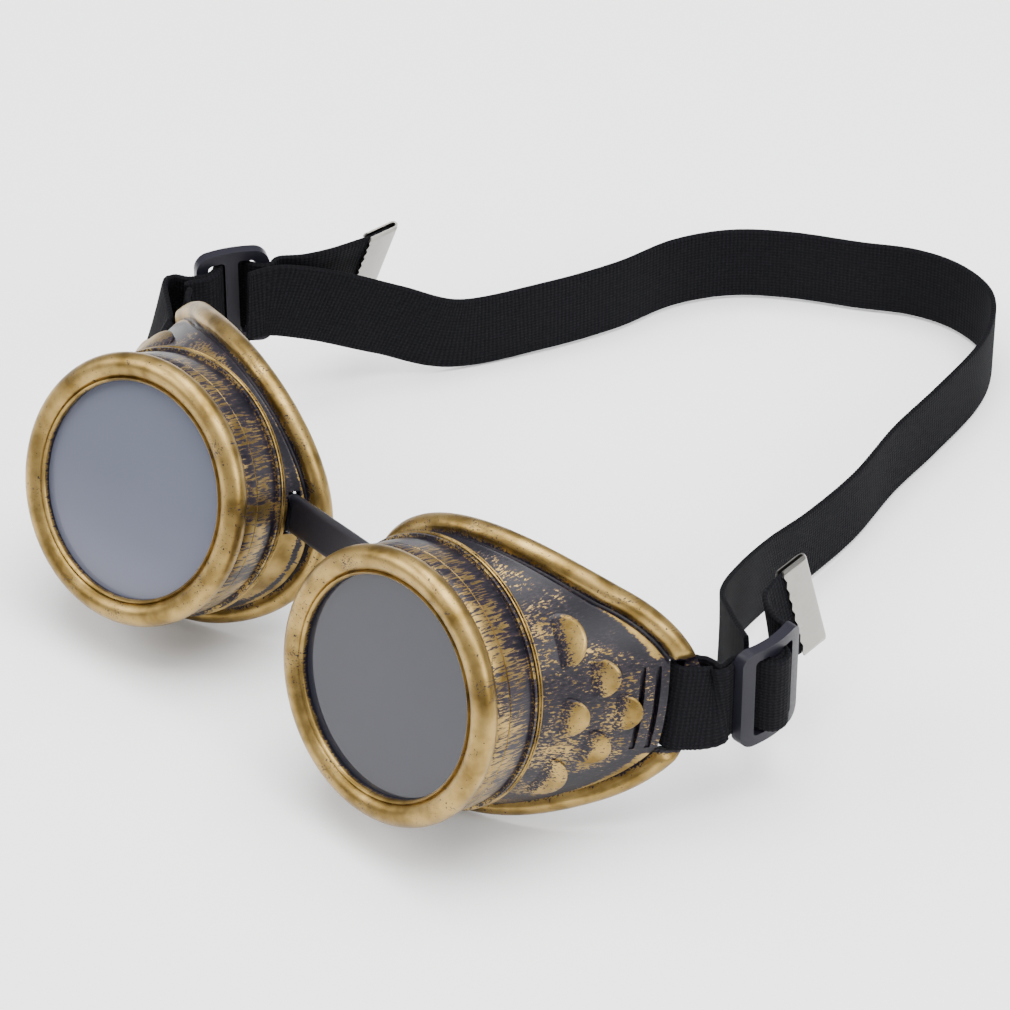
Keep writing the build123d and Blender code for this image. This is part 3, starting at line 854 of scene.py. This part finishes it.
TAILS = {
    "left": (
        ((77.6, 77.4, 27.6), (-0.05, -0.02, 1.0)),
        ((74.0, 79.0, 27.7), (-0.12, -0.05, 0.99)),
        ((71.3, 81.7, 27.7), (-0.2, -0.09, 0.97)),
        ((70.5, 84.8, 27.7), (-0.28, -0.11, 0.95)),
        ((70.0, 87.7, 27.6), (-0.325, -0.122, 0.939)),
    ),
    "right": (
        ((-88.2, 79.0, 28.9), (0.0, 0.0, 1.0)),
        ((-86.4, 84.5, 28.7), (0.12, -0.06, 1.0)),
        ((-85.6, 91.5, 28.5), (0.25, -0.13, 0.96)),
        ((-85.6, 99.6, 28.2), (0.353, -0.188, 0.917)),
    ),
}
TAIL_IN_TIP = 6.5


def tail_end(side):
    (before, _), (end, across) = TAILS[side][-2:]
    ahead = unit(np.subtract(end, before))
    across = np.array(across) - ahead * np.dot(across, ahead)
    return layout(end), ahead, unit(across)


def strap_tail(side):
    """Both layers over the slider's middle bar, and the free end in its metal tip."""
    end, ahead, across = tail_end(side)
    outer = [(slider_point(side, along, out), UP) for along, out in WRAP_OUTER]
    outer += [(layout(spot), lean) for spot, lean in TAILS[side]]
    outer.append((end + ahead * TAIL_IN_TIP, across))
    inner = [(slider_point(side, along, out), UP) for along, out in WRAP_INNER]
    for name, route in ((f"{side}_tail_webbing", outer), (f"{side}_wrap_webbing", inner)):
        obj = band(name, route)
        dress(obj, WEBBING)
        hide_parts(f"{side}_strap_tail")
        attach(obj, f"{side}_slider")


TIP_L, TIP_W, TIP_T, TIP_SKIN = 8.8, 20.0, 2.5, 0.5
TIP_STEPS, TOOTH_PITCH, TOOTH_HIGH = 96, 2.5, 0.55


def strap_tip(side):
    """Nickel plate folded over the webbing's end, its two front edges cut into small teeth."""
    end, ahead, across = tail_end(side)
    over = np.cross(ahead, across)
    outline = []
    r_out = TIP_T / 2
    for k in range(9):
        turn = pi / 2 - pi * k / 8
        outline.append((TIP_L - r_out + r_out * cos(turn), r_out * sin(turn)))
    inner_r = r_out - TIP_SKIN
    outer_row = [(0.0, r_out), (TIP_L * 0.4, r_out), *outline, (TIP_L * 0.4, -r_out),
                 (0.0, -r_out)]
    inner_row = [(0.0, -inner_r), (TIP_L * 0.4, -inner_r)]
    for k in range(9):
        turn = -pi / 2 + pi * k / 8
        inner_row.append((TIP_L - r_out + inner_r * cos(turn), inner_r * sin(turn)))
    inner_row += [(TIP_L * 0.4, inner_r), (0.0, inner_r)]
    profile = np.array(outer_row + inner_row)
    grid = np.empty((TIP_STEPS + 1, len(profile), 3))
    for i, w in enumerate(np.linspace(-TIP_W / 2, TIP_W / 2, TIP_STEPS + 1)):
        tooth = TOOTH_HIGH * abs(((w / TOOTH_PITCH) % 1.0) - 0.5) * 2
        x = profile[:, 0] + np.where(profile[:, 0] < 0.1, tooth, 0)
        corner = fade(abs(w), TIP_W / 2 - 0.7, TIP_W / 2) * 0.25
        squeeze = 1 - corner
        grid[i] = (end + ahead * x[:, None] + across * w + over * (profile[:, 1] * squeeze)[:, None])
    obj = lattice(f"{side}_tip_plate", grid, col_loop=True, caps=True)
    local = (vertex_points(obj) - end) @ np.array([ahead, across, over]).T
    set_vector(obj, "weave", local)
    dress(obj, NICKEL)
    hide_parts(f"{side}_strap_tip")
    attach(obj, f"{side}_slider")


# ---------------------------------------------------------------- nose bridge
def nose_bridge():
    """Rubber strip through both slots, with a thicker stop inside each cup."""
    route, stops = [], []
    spot, around, _, out = wall_axes(180 - BRIDGE_ANGLE, BRIDGE_DEPTH)
    for side in ("right", "left"):
        cup = CUPS[side]
        across = cup.way(around)
        across = across * (1 if across[2] > 0 else -1)
        pair = [(cup.world(spot + out * reach), across) for reach in (-WALL - 2.4, -WALL, 0.4, WALL + 0.6)]
        route += pair if side == "right" else pair[::-1]
        stops.append((side, pair))
    strip = band("nose_bridge_strip", route, BRIDGE_T, BRIDGE_W, ribbed=False)
    dress(strip, BRIDGE)
    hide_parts("nose_bridge")
    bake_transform(strip)
    for side, pair in stops:
        inward = unit(pair[0][0] - pair[1][0])
        tip = pair[0][0]
        stations = [(tip - inward * 0.2, pair[0][1]), (tip + inward * 0.9, pair[0][1]),
                    (tip + inward * 2.0, pair[0][1])]
        stop = band(f"{side}_bridge_stop", stations, 4.5, 12.5, ribbed=False)
        dress(stop, BRIDGE)
        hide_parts("nose_bridge")
        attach(stop, f"{side}_cup")


# ---------------------------------------------------------------- build everything
for side, cup in CUPS.items():
    eye_cup(cup)
    lens_ring(cup)
    carried(f"{side}_filter_lens", SMOKE_GLASS_LIT_AND_SHADED[side], 0.25)
    carried(f"{side}_cover_lens", CLEAR)
    carried(f"{side}_lens_gasket", GASKET)
    carried(f"{side}_slider", SLIDER, 0.55)
    strap_loop(cup)
    strap_tail(side)
    strap_tip(side)
nose_bridge()
main_band()


# ---------------------------------------------------------------- stage
def floor():
    size = 6000.0
    corners = [(-size, -size, 0), (size, -size, 0), (size, size, 0), (-size, size, 0)]
    obj = new_object("floor", corners, [(0, 1, 2, 3)])
    obj.location.z = -0.0003
    obj.data.materials.append(floor_paper())


def softbox(name, place, power, size, target=(0, 0, 0.03)):
    light = bpy.data.objects.new(name, bpy.data.lights.new(name, "AREA"))
    bpy.context.scene.collection.objects.link(light)
    light.data.energy, light.data.size = power, size
    light.location = place
    light.rotation_mode = "QUATERNION"
    light.rotation_quaternion = (Vector(target) - Vector(place)).to_track_quat("-Z", "Y")


def studio_sky():
    """White overhead, darker towards the horizon, so that curved metal has contrast."""
    world = bpy.data.worlds.new("studio")
    world.use_nodes = True
    sky = world.node_tree.nodes
    spot = sky.new("ShaderNodeTexCoord")
    height = sky.new("ShaderNodeSeparateXYZ")
    shade = sky.new("ShaderNodeValToRGB")
    shade.color_ramp.elements[0].color = (0.22, 0.22, 0.23, 1)
    shade.color_ramp.elements[1].color = (1, 1, 1, 1)
    world.node_tree.links.new(spot.outputs["Generated"], height.inputs[0])
    world.node_tree.links.new(height.outputs["Z"], shade.inputs[0])
    world.node_tree.links.new(shade.outputs[0], sky["Background"].inputs["Color"])
    sky["Background"].inputs["Strength"].default_value = 1.25
    bpy.context.scene.world = world


floor()
studio_sky()
softbox("overhead", (0.1, 0.1, 1.6), 62.0, 1.4)
softbox("camera_left", (-1.0, -1.2, 1.2), 26.0, 1.0)
softbox("camera_right", (1.6, 0.3, 0.9), 22.0, 0.9)
